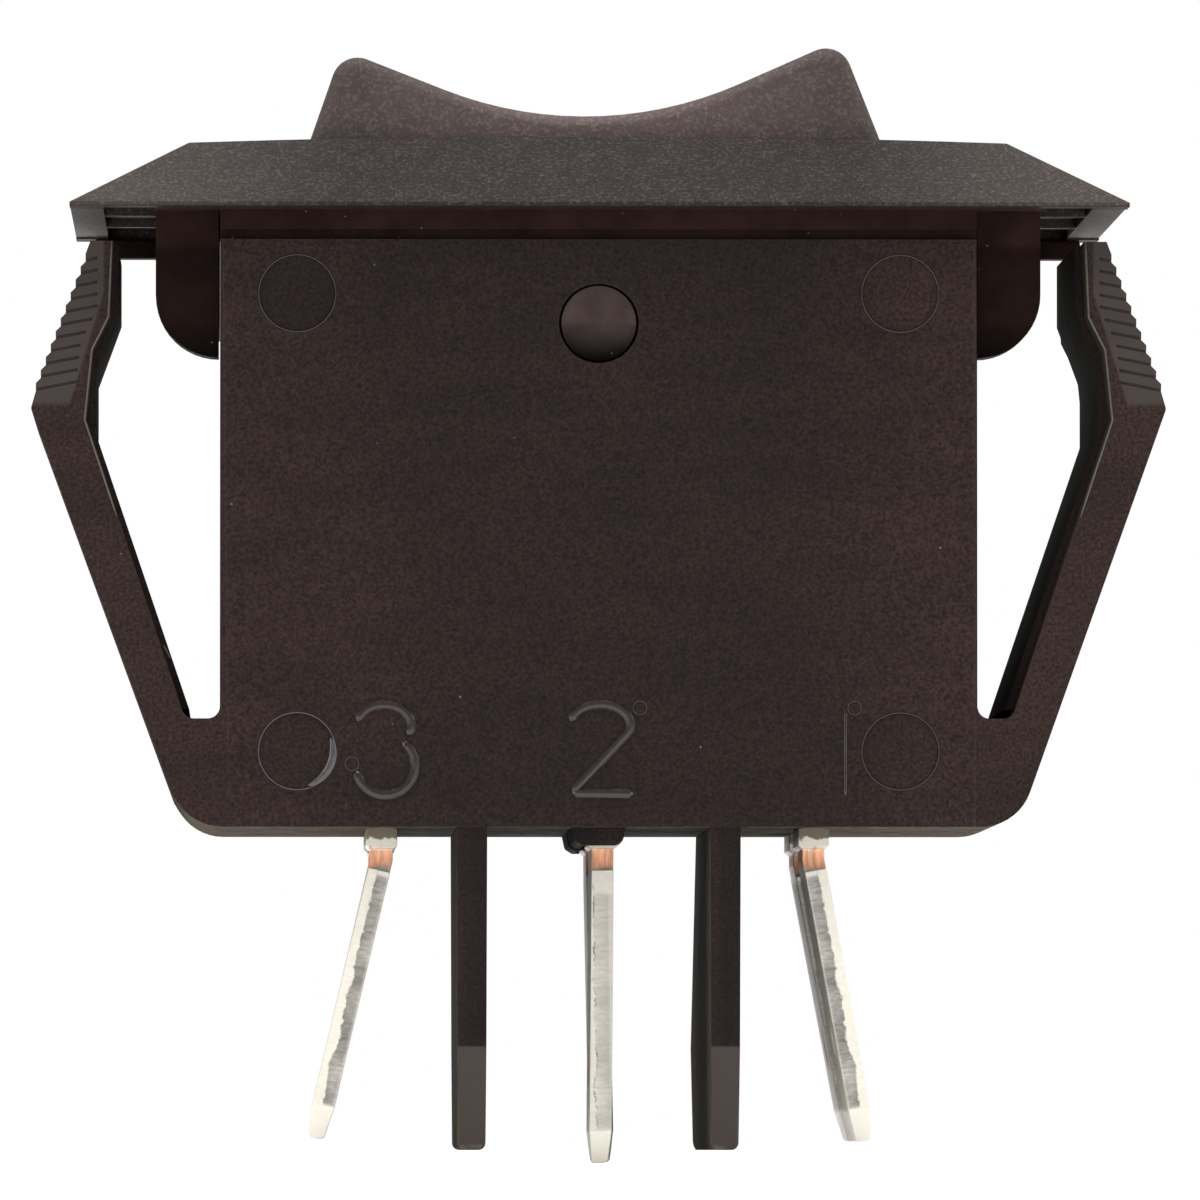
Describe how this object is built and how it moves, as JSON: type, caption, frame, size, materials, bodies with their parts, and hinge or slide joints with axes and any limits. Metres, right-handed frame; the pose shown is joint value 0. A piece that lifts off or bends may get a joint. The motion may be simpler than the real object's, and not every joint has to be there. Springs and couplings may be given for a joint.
{
  "type": "rocker switch",
  "caption": "Snap-in panel rocker switch with a bevelled bezel, serrated wings, insulating barriers and tab terminals; the rocker tips a contact bar in each pole.",
  "frame": {"origin": "centre of the panel cut-out, on the outer face of the panel, under the bezel's flange", "axes": "+X along the switch, towards terminals 1 and 4; +Y across it, towards terminals 4 to 6; +Z out of the panel, towards the rocker"},
  "size_m": [0.0412, 0.0248, 0.0407],
  "materials": {
    "housing_nylon": "moulded black nylon, satin",
    "bezel_nylon": "moulded black nylon with a fine spark-eroded grain",
    "rocker_nylon": "moulded black nylon with a fine grain",
    "plunger_nylon": "natural nylon",
    "tinned_brass": "tin plated, with sheared edges",
    "bar_copper": "bare copper alloy",
    "contact_silver": "silver alloy buttons",
    "spring_steel": "drawn wire"
  },
  "bodies": {
    "base": {"housing": "housing_nylon", "bezel": "bezel_nylon", "terminal_1": "tinned_brass", "terminal_2": "tinned_brass", "terminal_3": "tinned_brass", "terminal_4": "tinned_brass", "terminal_5": "tinned_brass", "terminal_6": "tinned_brass", "fixed_contact_front_left": "contact_silver", "fixed_contact_front_right": "contact_silver", "fixed_contact_back_left": "contact_silver", "fixed_contact_back_right": "contact_silver"},
    "rocker": {"rocker": "rocker_nylon", "spring_front": "spring_steel", "spring_back": "spring_steel"},
    "plunger_front": {"plunger_front": "plunger_nylon"},
    "plunger_back": {"plunger_back": "plunger_nylon"},
    "bar_front": {"contact_bar_front": "bar_copper", "moving_contact_front_left": "contact_silver", "moving_contact_front_right": "contact_silver"},
    "bar_back": {"contact_bar_back": "bar_copper", "moving_contact_back_left": "contact_silver", "moving_contact_back_right": "contact_silver"}
  },
  "joints": [
    {"name": "rocker_tilt", "type": "hinge", "parent": "base", "child": "rocker", "pos_m": [0, 0, -0.00414], "axis": [0, 1, 0], "range_deg": [-10.8, 13.2]},
    {"name": "bar_tilt_front", "type": "hinge", "parent": "base", "child": "bar_front", "pos_m": [0, -0.0053, -0.016], "axis": [0, 1, 0], "range_deg": [-6.6, 5.4]},
    {"name": "bar_tilt_back", "type": "hinge", "parent": "base", "child": "bar_back", "pos_m": [0, 0.0053, -0.016], "axis": [0, 1, 0], "range_deg": [-6.6, 5.4]},
    {"name": "plunger_slide_front", "type": "slide", "parent": "rocker", "child": "plunger_front", "axis": [-0.0209, 0, 0.9998], "range_m": [0, 0.0006], "stiffness_N_per_m": 400, "deforming": ["spring_front"]},
    {"name": "plunger_slide_back", "type": "slide", "parent": "rocker", "child": "plunger_back", "axis": [-0.0209, 0, 0.9998], "range_m": [0, 0.0006], "stiffness_N_per_m": 400, "deforming": ["spring_back"]}
  ],
  "couplings": [
    {"joint": "bar_tilt_front", "follows": "rocker_tilt", "ratio": -0.5},
    {"joint": "bar_tilt_back", "follows": "rocker_tilt", "ratio": -0.5}
  ]
}
